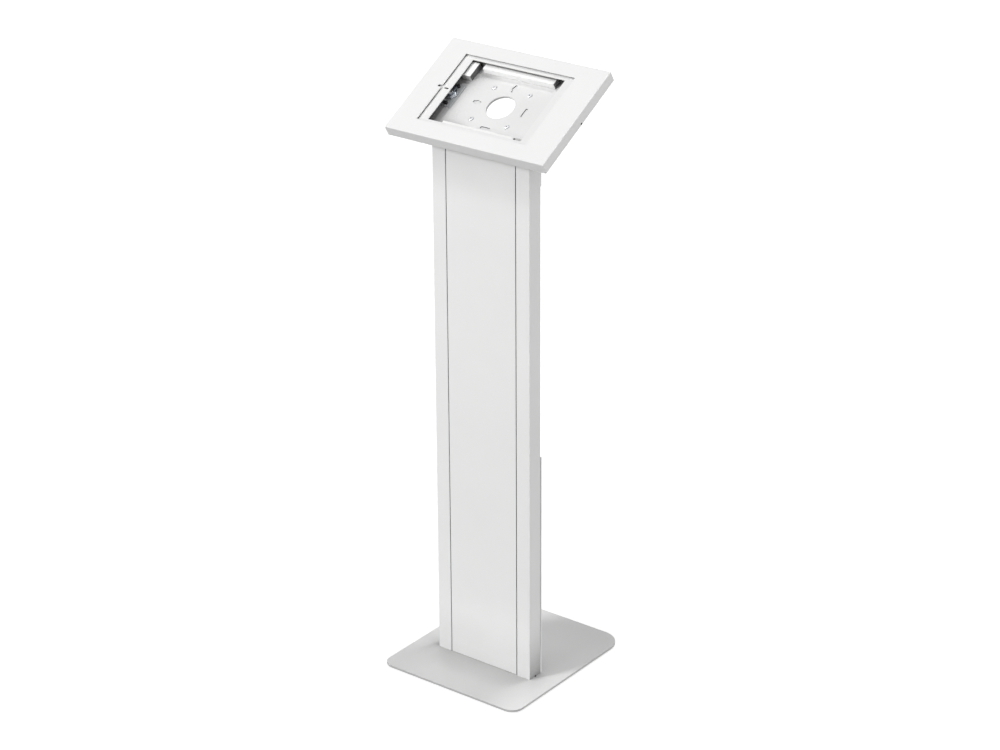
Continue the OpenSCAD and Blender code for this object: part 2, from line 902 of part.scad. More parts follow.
module lock_plate() {
    color("slategray")
        at_head()
            translate([lock_x, lock_y, -tray_depth])
                difference() {
                    linear_extrude(lock_plate_t)
                        round_rect(lock_plate_w, lock_plate_l, 2);
                    translate([0, 0, -1])
                        cylinder(d = barrel_d + 2 * hole_gap, h = lock_plate_t + 2);
                }
}

module lock_barrel() {
    color("lightsteelblue")
        at_head()
            translate([lock_x, lock_y, 0])
                difference() {
                    union() {
                        translate([0, 0, -tray_under - lock_face_t])
                            cylinder(d = lock_face_d, h = lock_face_t);
                        translate([0, 0, -tray_under - eps])
                            cylinder(d = barrel_d, h = tray_under - barrel_top + eps);
                    }
                    translate([0, 0, -tray_under - lock_face_t - 1])
                        cylinder(d = core_d + 2 * core_gap, h = tray_under + lock_face_t);
                }
}

module lock_nut() {
    color("lightsteelblue")
        at_head()
            translate([lock_x, lock_y, -plate_top])
                difference() {
                    cylinder(d = nut_af / cos(30), h = nut_t, $fn = 6);
                    translate([0, 0, -1])
                        cylinder(d = barrel_d + 0.1, h = nut_t + 2);
                }
}

module lock_buffers() {
    color("black")
        at_head()
            for (s = [-1, 1])
                translate([lock_x, lock_y + s * buffer_reach, -plate_top])
                    linear_extrude(buffer_h)
                        round_rect(buffer_l, buffer_w, 1);
}

// The turning core, drawn with its key slot down and its driving square up
module lock_core() {
    core_l = tray_under + lock_face_t - cam_depth;
    color("gold")
        at_head()
            translate([lock_x, lock_y, -tray_under - lock_face_t])
                difference() {
                    union() {
                        cylinder(d = core_d, h = core_l - 0.1);
                        translate([-square_side / 2, -square_side / 2, 0])
                            cube([square_side, square_side, core_l + cam_t - 0.1]);
                    }
                    translate([-key_slot_l / 2, -key_slot_w / 2, -1])
                        cube([key_slot_l, key_slot_w, key_slot_depth + 1]);
                    translate([0, 0, core_l + cam_t - cam_screw_l - 1])
                        cylinder(d = cam_screw_d + cam_play, h = cam_screw_l + 2);
                }
}

// The cam points up the slope at rest, which is its open place, and turns 90 degrees onto the keeper plate
module lock_cam() {
    color("slategray")
        at_head()
            translate([lock_x, lock_y, -cam_depth])
                difference() {
                    union() {
                        cylinder(d = cam_w + cam_boss, h = cam_t);
                        translate([-cam_w / 2, 0, 0])
                            cube([cam_w, cam_reach - cam_w / 4, cam_t]);
                        translate([0, cam_reach - cam_w / 2, 0])
                            cylinder(d = cam_w, h = cam_t);
                    }
                    translate([-square_side / 2 - cam_play, -square_side / 2 - cam_play, -1])
                        cube([square_side + 2 * cam_play, square_side + 2 * cam_play, cam_t + 2]);
                }
}

module cam_screw() {
    color("silver")
        at_head()
            translate([lock_x, lock_y, -cam_depth + cam_t])
                difference() {
                    union() {
                        cylinder(d = cam_screw_head, h = cam_screw_rise);
                        translate([0, 0, -cam_screw_l])
                            cylinder(d = cam_screw_d, h = cam_screw_l + eps);
                    }
                    for (a = [0, 90])
                        rotate(a)
                            translate([-cam_screw_head / 4, -cam_screw_slot / 2, cam_screw_rise / 2])
                                cube([cam_screw_head / 2, cam_screw_slot, cam_screw_rise]);
                }
}

// Front cover

// Places of the studs that clamp the bezel plate
module at_bezel_studs() {
    for (sx = [-1, 0, 1], sy = [-1, 1])
        translate([cutout_x + sx * stud_off_x, cutout_y + sy * stud_off_y, 0])
            children();
}

module front_cover() {
    color("white")
        at_head()
            union() {
                difference() {
                    translate([0, head_l / 2, 0])
                        folded_lid(head_w, head_l, cover_h, fold_r, corner_r);
                    translate([0, head_l / 2, -cover_t])
                        folded_lid(
                            head_w - 2 * cover_t, head_l - 2 * cover_t, cover_h,
                            max(inner_r, fold_r - cover_t), max(inner_r, corner_r - cover_t)
                        );
                    translate([cutout_x, cutout_y, -cover_t - 1])
                        linear_extrude(cover_t + 2)
                            round_rect(cutout_w, cutout_l, cut_corner_r);
                    translate([cutout_left, cutout_y, -cover_t - 1])
                        linear_extrude(cover_t + 2)
                            rotate(90)
                                slot_shape(2 * notch_l, notch_w);
                    translate([head_w / 2 - cover_t - 1, hook_y, -hook_screw_depth])
                        rotate([0, 90, 0])
                            cylinder(d = hook_screw_d + 2 * hole_gap, h = cover_t + 2);
                }
                // Studs, each with a collar that keeps the bezel plate off the sheet
                at_bezel_studs() {
                    translate([0, 0, -bezel_face])
                        cylinder(d = collar_d, h = bezel_gap + eps);
                    translate([0, 0, -bezel_back - stud_rise])
                        cylinder(d = stud_d, h = bezel_t + stud_rise + eps);
                }
            }
}

module bezel_plate() {
    color("white")
        at_head()
            translate([0, 0, -bezel_back])
                difference() {
                    translate([cutout_x, cutout_y, 0])
                        linear_extrude(bezel_t)
                            round_rect(bezel_w, bezel_l, plate_corner_r);
                    translate([window_x, window_y, -1])
                        linear_extrude(bezel_t + 2)
                            round_rect(window_w, window_l, cut_corner_r);
                    translate([camera_slot_x, window_y, -1])
                        linear_extrude(bezel_t + 2)
                            rotate(90)
                                slot_shape(camera_slot_l, camera_slot_w);
                    at_bezel_studs()
                        translate([0, 0, -1])
                            cylinder(d = stud_d + 2 * hole_gap, h = bezel_t + 2);
                }
}

module bezel_nuts() {
    color("silver")
        at_head()
            at_bezel_studs()
                translate([0, 0, -bezel_back - stud_d * nut_rise])
                    hex_nut(stud_d, stud_d * nut_rise);
}

module keeper_plate() {
    wall = -head_w / 2 + cover_t;
    color("gainsboro")
        at_head()
            difference() {
                translate([wall, lock_y - keeper_l / 2, -keeper_depth - keeper_t]) {
                    cube([keeper_right - wall, keeper_l, keeper_t]);
                    cube([keeper_t, keeper_l, keeper_depth + keeper_t - keeper_wall_drop]);
                }
                for (s = [-1, 1])
                    translate([keeper_hole_x, lock_y + s * keeper_l / 4, -keeper_depth - keeper_t - 1])
                        cylinder(d = keeper_hole, h = keeper_t + 2);
            }
}

module hook_plate() {
    wall = head_w / 2 - cover_t;
    tongue_in = tray_w / 2 - tray_t - tongue_reach;
    color("gainsboro")
        at_head()
            difference() {
                translate([0, hook_y - hook_l / 2, 0]) {
                    translate([wall - hook_t, 0, -hook_screw_depth - hook_edge])
                        cube([hook_t, hook_l, hook_flange]);
                    translate([tongue_in, 0, -hook_depth - hook_t / 2])
                        cube([wall - tongue_in, hook_l, hook_t]);
                }
                translate([wall - hook_t - 1, hook_y, -hook_screw_depth])
                    rotate([0, 90, 0])
                        cylinder(d = hook_screw_d + hole_gap, h = hook_t + 2);
            }
}

module hook_screw() {
    color("black")
        at_head()
            translate([head_w / 2, hook_y, -hook_screw_depth])
                rotate([0, 90, 0]) {
                    cylinder(d = hook_screw_head_d, h = hook_screw_rise);
                    translate([0, 0, -cover_t - hook_t - hook_screw_rise])
                        cylinder(d = hook_screw_d, h = cover_t + hook_t + hook_screw_rise + eps);
                }
}

base_plate();
foot_pads();
base_screws();
foot_bracket();
foot_screws();
upright_left();
upright_right();
cross_members();
member_screws();
front_panel();
panel_nuts();
rear_panel();
rear_panel_screws();
rear_cover();
rear_cover_screws();
cable_grommet();
head_bracket();
bracket_screws();
back_tray();
tray_screws();
foam_bar_top();
foam_bar_bottom();
foam_block();
lock_plate();
lock_barrel();
lock_nut();
lock_buffers();
lock_core();
lock_cam();
cam_screw();
front_cover();
bezel_plate();
bezel_nuts();
keeper_plate();
hook_plate();
hook_screw();
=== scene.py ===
"""Looks of a free-standing tablet stand: finishes, foam, camera and studio light.

Metres. The stand rests on z = 0 and its front faces -Y. The sloped head has its own frame: u to the
right, w up the slope from the head's front edge, d the depth below the head's outer face.
"""

import json
import math

import bmesh
import bpy
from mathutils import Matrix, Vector, noise


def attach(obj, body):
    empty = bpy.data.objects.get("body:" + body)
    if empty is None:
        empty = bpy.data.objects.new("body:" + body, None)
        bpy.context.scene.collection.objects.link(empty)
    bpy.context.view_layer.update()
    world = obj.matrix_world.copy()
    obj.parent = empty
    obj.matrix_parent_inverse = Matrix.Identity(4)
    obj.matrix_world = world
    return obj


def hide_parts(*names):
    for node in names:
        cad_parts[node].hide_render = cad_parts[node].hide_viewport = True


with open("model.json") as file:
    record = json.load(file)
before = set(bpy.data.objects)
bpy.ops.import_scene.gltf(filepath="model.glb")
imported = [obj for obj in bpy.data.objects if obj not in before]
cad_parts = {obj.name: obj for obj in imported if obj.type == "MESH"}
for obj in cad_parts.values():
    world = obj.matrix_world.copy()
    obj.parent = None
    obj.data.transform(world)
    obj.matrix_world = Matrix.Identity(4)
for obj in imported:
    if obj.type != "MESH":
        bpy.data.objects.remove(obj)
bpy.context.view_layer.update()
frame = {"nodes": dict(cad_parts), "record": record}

MM = 0.001
TILT = math.radians(30.34)
HEAD_Y = -108.65 * MM
HEAD_Z = 1013.3 * MM
TRAY_DEPTH = 20.5 * MM


def head_point(u, w, d):
    """The row-frame point at u, w and depth d of the head, all in metres."""
    y = HEAD_Y + w * math.cos(TILT) + d * math.sin(TILT)
    z = HEAD_Z + w * math.sin(TILT) - d * math.cos(TILT)
    return Vector((u, y, z))


# Camera

CAMERA_AZIMUTH = math.radians(36.73)
CAMERA_ELEVATION = math.radians(23.07)
CAMERA_PLACE = (2.7270, -3.56185, 2.5236)
CAMERA_REACH = 100.0
FOCAL_PX = 2785.1
OPTICAL_AXIS_PX = (534.10, 346.25)
IMAGE_PX = (1000, 750)
SENSOR_MM = 36.0


def make_camera():
    data = bpy.data.cameras.new("camera")
    camera = bpy.data.objects.new("camera", data)
    bpy.context.scene.collection.objects.link(camera)
    data.sensor_fit = "HORIZONTAL"
    data.sensor_width = SENSOR_MM
    data.lens = FOCAL_PX * SENSOR_MM / IMAGE_PX[0]
    data.shift_x = (IMAGE_PX[0] / 2 - OPTICAL_AXIS_PX[0]) / IMAGE_PX[0]
    data.shift_y = (OPTICAL_AXIS_PX[1] - IMAGE_PX[1] / 2) / IMAGE_PX[0]
    data.clip_end = CAMERA_REACH
    back = Vector((
        math.sin(CAMERA_AZIMUTH) * math.cos(CAMERA_ELEVATION),
        -math.cos(CAMERA_AZIMUTH) * math.cos(CAMERA_ELEVATION),
        math.sin(CAMERA_ELEVATION),
    ))
    camera.location = CAMERA_PLACE
    camera.rotation_mode = "QUATERNION"
    camera.rotation_quaternion = (-back).to_track_quat("-Z", "Y")
    bpy.context.scene.camera = camera


# Shader nodes

# Sockets of Blender's Mix node when it mixes colours
MIX_AMOUNT, MIX_FIRST, MIX_SECOND, MIX_RESULT = 0, 6, 7, 2

# Painted shade inside the reliefs at the uprights' feet: their place, with x taken positive, how
# the painted shade fades, and its level
RELIEF_PLACE = (102.0 * MM, -42.65 * MM, 7.0 * MM)
RELIEF_SHADE_FADE = (2.9 * MM, 3.3 * MM)
RELIEF_SHADE_LEVEL = 0.03

# Cosines between which a face starts to look along a direction and fully does
LOOKS_AWAY, LOOKS_ALONG = 0.5, 0.95


class Tree:
    """The node tree of a material or world. Apart from add, its methods pass sockets on."""

    def __init__(self, owner):
        owner.use_nodes = True
        self.tree = owner.node_tree
        self.tree.nodes.clear()

    def add(self, kind, sockets=None, **settings):
        node = self.tree.nodes.new(kind)
        for name, value in settings.items():
            setattr(node, name, value)
        for name, value in (sockets or {}).items():
            node.inputs[name].default_value = value
        return node

    def link(self, source, node, socket):
        self.tree.links.new(source, node.inputs[socket])

    def span(self, source, low, high, start=0.3, end=0.7):
        """The source's start to end, mapped onto low to high."""
        node = self.add("ShaderNodeMapRange", {
            "From Min": start, "From Max": end, "To Min": low, "To Max": high,
        })
        self.link(source, node, "Value")
        return node.outputs["Result"]

    def background(self, strength):
        white = (1.0, 1.0, 1.0, 1.0)
        node = self.add("ShaderNodeBackground", {"Color": white, "Strength": strength})
        return node.outputs["Background"]

    def diffuse(self, level):
        node = self.add("ShaderNodeBsdfDiffuse", {"Color": (level, level, level, 1.0)})
        return node.outputs["BSDF"]

    def camera_white(self, shader, white):
        """Shows plain white to the camera and to mirrors, and the shader to everything else."""
        path = self.add("ShaderNodeLightPath")
        straight = self.add("ShaderNodeMath", operation="MAXIMUM")
        self.link(path.outputs["Is Camera Ray"], straight, 0)
        self.link(path.outputs["Is Glossy Ray"], straight, 1)
        seen = self.add("ShaderNodeMath", operation="MAXIMUM")
        self.link(straight.outputs["Value"], seen, 0)
        self.link(path.outputs["Is Transmission Ray"], seen, 1)
        mix = self.add("ShaderNodeMixShader")
        self.link(seen.outputs["Value"], mix, 0)
        self.link(shader, mix, 1)
        self.link(white, mix, 2)
        return mix.outputs["Shader"]


class Finish(Tree):
    """One material of the stand, with the nodes that its textures and shading are made of."""

    def __init__(self, name, **sockets):
        self.material = bpy.data.materials.new(name)
        super().__init__(self.material)
        output = self.add("ShaderNodeOutputMaterial")
        named = {socket.replace("_", " "): value for socket, value in sockets.items()}
        self.shader = self.add("ShaderNodeBsdfPrincipled", named)
        self.link(self.shader.outputs["BSDF"], output, "Surface")
        self.place = self.add("ShaderNodeTexCoord").outputs["Object"]

    def dress(self, colour, roughness, normal):
        """Joins the shader's three textured sockets and gives back the finished material."""
        self.link(colour, self.shader, "Base Color")
        self.link(roughness, self.shader, "Roughness")
        self.link(normal, self.shader, "Normal")
        return self.material

    def noise(self, scale, detail=2.0, roughness=0.5, stretch=None):
        place = self.place
        if stretch is not None:
            mapping = self.add("ShaderNodeMapping", {"Scale": stretch})
            self.link(place, mapping, "Vector")
            place = mapping.outputs["Vector"]
        node = self.add("ShaderNodeTexNoise", {
            "Scale": scale, "Detail": detail, "Roughness": roughness,
        })
        self.link(place, node, "Vector")
        return node.outputs["Fac"]

    def ramp(self, source, stops):
        """A colour ramp over stops that each pair a place on it with a colour."""
        node = self.add("ShaderNodeValToRGB")
        elements = node.color_ramp.elements
        for element, (place, colour) in zip(elements, (stops[0], stops[-1])):
            element.position = place
            element.color = (*colour, 1.0)
        for place, colour in stops[1:-1]:
            elements.new(place).color = (*colour, 1.0)
        self.link(source, node, "Fac")
        return node.outputs["Color"]

    def tones(self, source, colour, darkest, brightest):
        """A colour that varies between two of its tones."""
        return self.ramp(source, ((0.3, tone(colour, darkest)), (0.7, tone(colour, brightest))))

    def bump(self, source, height, strength, below=None):
        node = self.add("ShaderNodeBump", {"Strength": strength, "Distance": height})
        self.link(source, node, "Height")
        if below is not None:
            self.link(below, node, "Normal")
        return node.outputs["Normal"]

    def edge(self, radius):
        """Normals that round every edge off by a small radius."""
        return self.add("ShaderNodeBevel", {"Radius": radius}, samples=6).outputs["Normal"]

    def multiply(self, colour, factor, amount=None):
        """The colour times a factor that is laid on in full or by an amount."""
        node = self.add(
            "ShaderNodeMix", {MIX_AMOUNT: 1.0}, data_type="RGBA", blend_type="MULTIPLY"
        )
        if amount is not None:
            self.link(amount, node, MIX_AMOUNT)
        self.link(colour, node, MIX_FIRST)
        self.link(factor, node, MIX_SECOND)
        return node.outputs[MIX_RESULT]

    def painted_shade(self, colour, crease, amount=None):
        """The colour with painted shade: darker where surfaces within the crease's reach shade each
        other.
        """
        reach, stops = crease
        openness = self.add("ShaderNodeAmbientOcclusion", {"Distance": reach}, samples=8)
        greys = [(place, (level,) * 3) for place, level in stops]
        return self.multiply(colour, self.ramp(openness.outputs["AO"], greys), amount)

    def left_of(self, near, far):
        """One to the left of x = far, nothing to the right of x = near."""
        parts = self.add("ShaderNodeSeparateXYZ")
        self.link(self.place, parts, "Vector")
        return self.span(parts.outputs["X"], 0.0, 1.0, near, far)

    def looking(self, direction, nothing=LOOKS_AWAY, full=LOOKS_ALONG):
        """One on faces that look along the direction."""
        geometry = self.add("ShaderNodeNewGeometry")
        along = self.add("ShaderNodeVectorMath", {1: direction}, operation="DOT_PRODUCT")
        self.link(geometry.outputs["Normal"], along, 0)
        return self.span(along.outputs["Value"], 0.0, 1.0, nothing, full)

    def turned_from(self, direction):
        """One on faces that look away from the direction."""
        return self.looking(direction, LOOKS_ALONG, LOOKS_AWAY)

    def painted_relief_shade(self):
        """Painted shade: dark within the small reliefs at the uprights' feet, white elsewhere."""
        parts = self.add("ShaderNodeSeparateXYZ")
        self.link(self.place, parts, "Vector")
        sideways = self.add("ShaderNodeMath", operation="ABSOLUTE")
        self.link(parts.outputs["X"], sideways, 0)
        place = self.add("ShaderNodeCombineXYZ")
        self.link(sideways.outputs["Value"], place, "X")
        self.link(parts.outputs["Y"], place, "Y")
        self.link(parts.outputs["Z"], place, "Z")
        away = self.add("ShaderNodeVectorMath", {1: RELIEF_PLACE}, operation="DISTANCE")
        self.link(place.outputs["Vector"], away, 0)
        return self.span(away.outputs["Value"], RELIEF_SHADE_LEVEL, 1.0, *RELIEF_SHADE_FADE)


def tone(colour, factor):
    return tuple(min(1.0, c * factor) for c in colour)


# Finishes

WHITE = (0.86, 0.86, 0.857)
FOAM_WHITE = (0.96, 0.96, 0.955)
HEAD_NORMAL = (0.0, -math.sin(TILT), math.cos(TILT))
AHEAD = (0.0, -1.0, 0.0)
RIGHTWARD = (1.0, 0.0, 0.0)

# Scales of the noise textures, in cells per metre
PAINT_BLOTCHES, PAINT_WAVES, PAINT_PEEL = 9.0, 420.0, 1500.0
PLATING_CLOUDS, ROLLING_MARKS = 60.0, 700.0
RUBBER_BLOOM, RUBBER_GRAIN = 140.0, 1800.0
FOAM_LUMPS, FOAM_CELLS = 220.0, 1300.0

# Heights of the bumps
PEEL_HEIGHT = 0.04 * MM
THIN_PEEL_HEIGHT = 0.03 * MM
MARK_HEIGHT = 0.02 * MM
RUBBER_GRAIN_HEIGHT = 0.05 * MM
FOAM_LUMP_HEIGHT = 0.3 * MM
FOAM_CELL_HEIGHT = 0.25 * MM

# Painted shade on the tray's left, beside the lock: none right of the first x, full left of the
# second
LEFT_TRAY_SHADE_X = (-30.0 * MM, -70.0 * MM)

# Radii that edges look rounded by
PAINT_EDGE = 0.5 * MM
THIN_PAINT_EDGE = 0.2 * MM
METAL_EDGE = 0.3 * MM
RUBBER_EDGE = 0.3 * MM

# Painted shade in creases: the reach within which surfaces shade each other, then pairs of openness
# and level
PAINT_CREASE = (0.03, ((0.1, 0.6), (0.5, 1.0)))
METAL_CREASE = (0.004, ((0.2, 0.3), (0.75, 1.0)))
TRAY_CORNERS = (0.06, ((0.1, 0.35), (0.35, 0.8), (0.5, 1.0)))
TRAY_WALLS = (0.06, ((0.4, 0.08), (0.8, 1.0)))
# Painted shade on the tray's left, beside the lock
LEFT_TRAY_SHADE = (0.06, ((0.3, 0.95), (0.5, 0.64), (0.77, 0.4), (0.91, 1.0)))
BRACKET_CREASE = (0.02, ((0.1, 0.35), (0.5, 1.0)))
BEZEL_EDGES = (0.02, ((0.1, 0.12), (0.5, 1.0)))
# Painted shade at the column's foot and on its faces turned from ahead, on the base round the
# column and within the uprights
COLUMN_FOOT = (0.1, ((0.5, 0.77), (0.75, 0.86), (1.0, 1.0)))
COLUMN_SIDES = (0.13, ((0.5, 0.36), (0.62, 0.6), (0.8, 0.8), (1.0, 0.93)))
BASE_ROUND_COLUMN = (0.1, ((0.5, 0.64), (0.7, 0.73), (0.87, 0.94), (1.0, 1.0)))
BASE_IN_UPRIGHTS = (0.03, ((0.12, 0.04), (0.3, 0.8), (0.5, 1.0)))
SEAM_REACH = 0.004
FOAM_TOP_REACH = 0.012
# Painted shade on the foam's right ends and on the foam block's sides
FOAM_RIGHT_END = (0.06, ((0.2, 0.2), (1.0, 0.45)))
BLOCK_SIDES = (0.06, ((0.3, 0.6), (0.55, 0.3), (0.85, 0.5), (1.0, 0.9)))


def painted(
    name, colour, roughness=0.42, peel_height=PEEL_HEIGHT, edge=PAINT_EDGE,
    creases=(PAINT_CREASE,), left_shade=False, turned=None, reliefs=False,
):
    """Powder coat: fine orange peel with slightly uneven colour and gloss, with painted shade in
    creases and, where asked, on the tray's left, on faces turned from a direction and in the foot
    reliefs.
    """
    n = Finish(name, Specular_IOR_Level=0.45)
    waves = n.noise(PAINT_WAVES, 1.0)
    peel = n.noise(PAINT_PEEL, 2.0, 0.45)
    speck = n.ramp(peel, ((0.28, (0.965,) * 3), (0.42, (1.0,) * 3)))
    shaded = n.multiply(n.tones(n.noise(PAINT_BLOTCHES, 3.0), colour, 0.985, 1.01), speck)
    for crease in creases:
        shaded = n.painted_shade(shaded, crease)
    # Painted shade on the tray's left, beside the lock
    if left_shade:
        shaded = n.painted_shade(shaded, LEFT_TRAY_SHADE, n.left_of(*LEFT_TRAY_SHADE_X))
    if turned is not None:
        direction, crease = turned
        shaded = n.painted_shade(shaded, crease, n.turned_from(direction))
    if reliefs:
        shaded = n.multiply(shaded, n.painted_relief_shade())
    low = n.bump(waves, peel_height * 2.0, 0.5, n.edge(edge))
    gloss = n.span(waves, roughness - 0.05, roughness + 0.06)
    return n.dress(shaded, gloss, n.bump(peel, peel_height, 0.6, low))


def plated(name, colour, roughness=0.32, brushed=(1.0, 1.0, 14.0)):
    """Plated metal: rolling marks along one way, cloudy colour and uneven gloss, with painted shade
    where surfaces meet.
    """
    n = Finish(name, Metallic=1.0)
    clouds = n.tones(n.noise(PLATING_CLOUDS, 4.0), colour, 0.86, 1.08)
    marks = n.noise(ROLLING_MARKS, 3.0, 0.6, brushed)
    gloss = n.span(marks, roughness - 0.08, roughness + 0.12)
    normal = n.bump(marks, MARK_HEIGHT, 0.5, n.edge(METAL_EDGE))
    return n.dress(n.painted_shade(clouds, METAL_CREASE), gloss, normal)


def rubbery(name, colour, roughness=0.7):
    """Moulded rubber: matt with a faint bloom and a fine grain."""
    n = Finish(name, Specular_IOR_Level=0.35)
    bloom = n.noise(RUBBER_BLOOM, 4.0)
    gloss = n.span(bloom, roughness - 0.08, roughness + 0.1)
    normal = n.bump(n.noise(RUBBER_GRAIN, 2.0), RUBBER_GRAIN_HEIGHT, 0.5, n.edge(RUBBER_EDGE))
    return n.dress(n.tones(bloom, colour, 0.8, 1.5), gloss, normal)


def foamy(name, shade_under_bezel, side_crease=None):
    """Closed-cell foam: soft, matt, full of fine cells, with painted shade under the bezel, on its
    right ends and, where given, on its sides.
    """
    n = Finish(name, Specular_IOR_Level=0.25, Sheen_Weight=0.15, Sheen_Roughness=0.5)
    cells = n.add("ShaderNodeTexVoronoi", {"Scale": FOAM_CELLS}, feature="F1")
    n.link(n.place, cells, "Vector")
    lumps = n.noise(FOAM_LUMPS, 3.0)
    colour = n.tones(lumps, FOAM_WHITE, 0.97, 1.02)
    top_crease = (FOAM_TOP_REACH, ((0.4, shade_under_bezel), (0.7, 1.0)))
    shaded = n.painted_shade(colour, top_crease, n.looking(HEAD_NORMAL))
    # Painted shade on the foam's right ends, the side turned from the light
    shaded = n.painted_shade(shaded, FOAM_RIGHT_END, n.looking(RIGHTWARD))
    if side_crease is not None:
        shaded = n.painted_shade(shaded, side_crease, n.turned_from(HEAD_NORMAL))
    low = n.bump(lumps, FOAM_LUMP_HEIGHT, 0.4)
    normal = n.bump(cells.outputs["Distance"], FOAM_CELL_HEIGHT, 0.5, low)
    return n.dress(shaded, n.span(lumps, 0.82, 0.95), normal)


def column_coat(seam_level):
    """The column's coat, painted a little lighter, with painted shade at its foot, on its sides, in
    the foot reliefs and in its seams down to the level given.
    """
    seams = (SEAM_REACH, ((0.2, seam_level), (0.7, 1.0)))
    return painted(
        "column_coat_painted_light_and_shade", tone(WHITE, 1.09), creases=(COLUMN_FOOT, seams),
        turned=(AHEAD, COLUMN_SIDES), reliefs=True,
    )


# The finish of each slot in the record
FINISHES = {
    "white_paint": lambda: painted("white_powder_coat", WHITE),
    "zinc": lambda: plated("bright_zinc", (0.74, 0.75, 0.77)),
    "dark_zinc": lambda: plated("blue_grey_zinc", (0.22, 0.25, 0.28), 0.38),
    "lock_metal": lambda: plated("bright_nickel", (0.66, 0.68, 0.71), 0.24, (14.0, 14.0, 1.0)),
    "brass": lambda: plated("satin_brass", (0.74, 0.57, 0.28), 0.3),
    "black_steel": lambda: painted(
        "black_oxide", (0.03, 0.03, 0.03), 0.45, THIN_PEEL_HEIGHT, THIN_PAINT_EDGE
    ),
    "black_rubber": lambda: rubbery("black_rubber", (0.022, 0.022, 0.024)),
    "grey_rubber": lambda: rubbery("dark_grey_rubber", (0.07, 0.07, 0.072), 0.8),
    "white_foam": lambda: foamy("white_foam", 0.2),
}

# Coats of single nodes with painted light and shade: their tones differ a little from their slot's
# white to stand in for the light on each part, and their creases add painted shade
LIT_AND_SHADED_COATS = {
    "front_cover": lambda: painted("cover_coat_painted_shade", tone(WHITE, 0.985)),
    "bezel_plate": lambda: painted("bezel_coat_painted_shade", tone(WHITE, 0.97), creases=(BEZEL_EDGES,)),
    "back_tray": lambda: painted(
        "tray_coat_painted_shade", tone(WHITE, 0.93), creases=(TRAY_CORNERS,),
        left_shade=True, turned=(HEAD_NORMAL, TRAY_WALLS),
    ),
    "lock_plate": lambda: painted(
        "plate_grey_coat_painted_shade", (0.66, 0.685, 0.695), 0.34, creases=(TRAY_CORNERS,), left_shade=True
    ),
    "head_bracket": lambda: painted(
        "bracket_coat_painted_shade", tone(WHITE, 0.93), creases=(BRACKET_CREASE,)
    ),
    # Painted seam shade: deepest on the left upright, some on the front panel, none on the right
    # upright
    "upright_left": lambda: column_coat(0.25),
    "upright_right": lambda: column_coat(1.0),
    "front_panel": lambda: column_coat(0.6),
    "base_plate": lambda: painted(
        "base_coat_painted_shade", tone(WHITE, 0.96), creases=(BASE_IN_UPRIGHTS, BASE_ROUND_COLUMN),
        reliefs=True,
    ),
}


def dress_nodes(materials):
    """Gives every CAD node the finish of its slot in the record, or its own coat of it."""
    for part in frame["record"]["subparts"]:
        node = frame["nodes"][part["node"]]
        node.data.materials.clear()
        if part["node"] in LIT_AND_SHADED_COATS:
            node.data.materials.append(LIT_AND_SHADED_COATS[part["node"]]())
        else:
            node.data.materials.append(materials[part["material_slot"]])


# Foam

FOAM_STEP = 2.2 * MM
FOAM_ROUND = 0.9 * MM
FOAM_CROWN = 0.3 * MM
FOAM_CROWN_POWER = 4
FOAM_WAVE = 0.25 * MM
FOAM_WAVE_MIDDLE = 0.4
FOAM_WAVES_PER_METRE = 90.0
FOAM_SEED_STEP = 7.3

# The first cut as a share of the rounding, and the share of the height that counts as the underside
FIRST_CUT = 0.4
UNDERSIDE = 0.01
CUT_TOLERANCE = 0.01 * MM


def stations(size):
    """Cuts across one size: close together at both ends and even between them."""
    ends = [FOAM_ROUND * FIRST_CUT, FOAM_ROUND]
    inner = size - 2 * FOAM_ROUND
    count = max(2, round(inner / FOAM_STEP))
    middle = [FOAM_ROUND + inner * i / count for i in range(1, count)]
    return ends + middle + [size - cut for cut in reversed(ends)]


def rounded_grid(width, length, height):
    """A closed box mesh that stands on the origin's floor, cut into cells by its stations."""
    bm = bmesh.new()
    bmesh.ops.create_cube(bm, size=1.0)
    for axis, size in enumerate((width, length, height)):
        for cut in stations(size):
            place = Vector((0, 0, 0))
            normal = Vector((0, 0, 0))
            place[axis] = cut / size - 0.5
            normal[axis] = 1.0
            geometry = bm.verts[:] + bm.edges[:] + bm.faces[:]
            bmesh.ops.bisect_plane(
                bm, geom=geometry, plane_co=place, plane_no=normal, dist=CUT_TOLERANCE
            )
    for v in bm.verts:
        v.co = Vector((v.co.x * width, v.co.y * length, (v.co.z + 0.5) * height))
    return bm


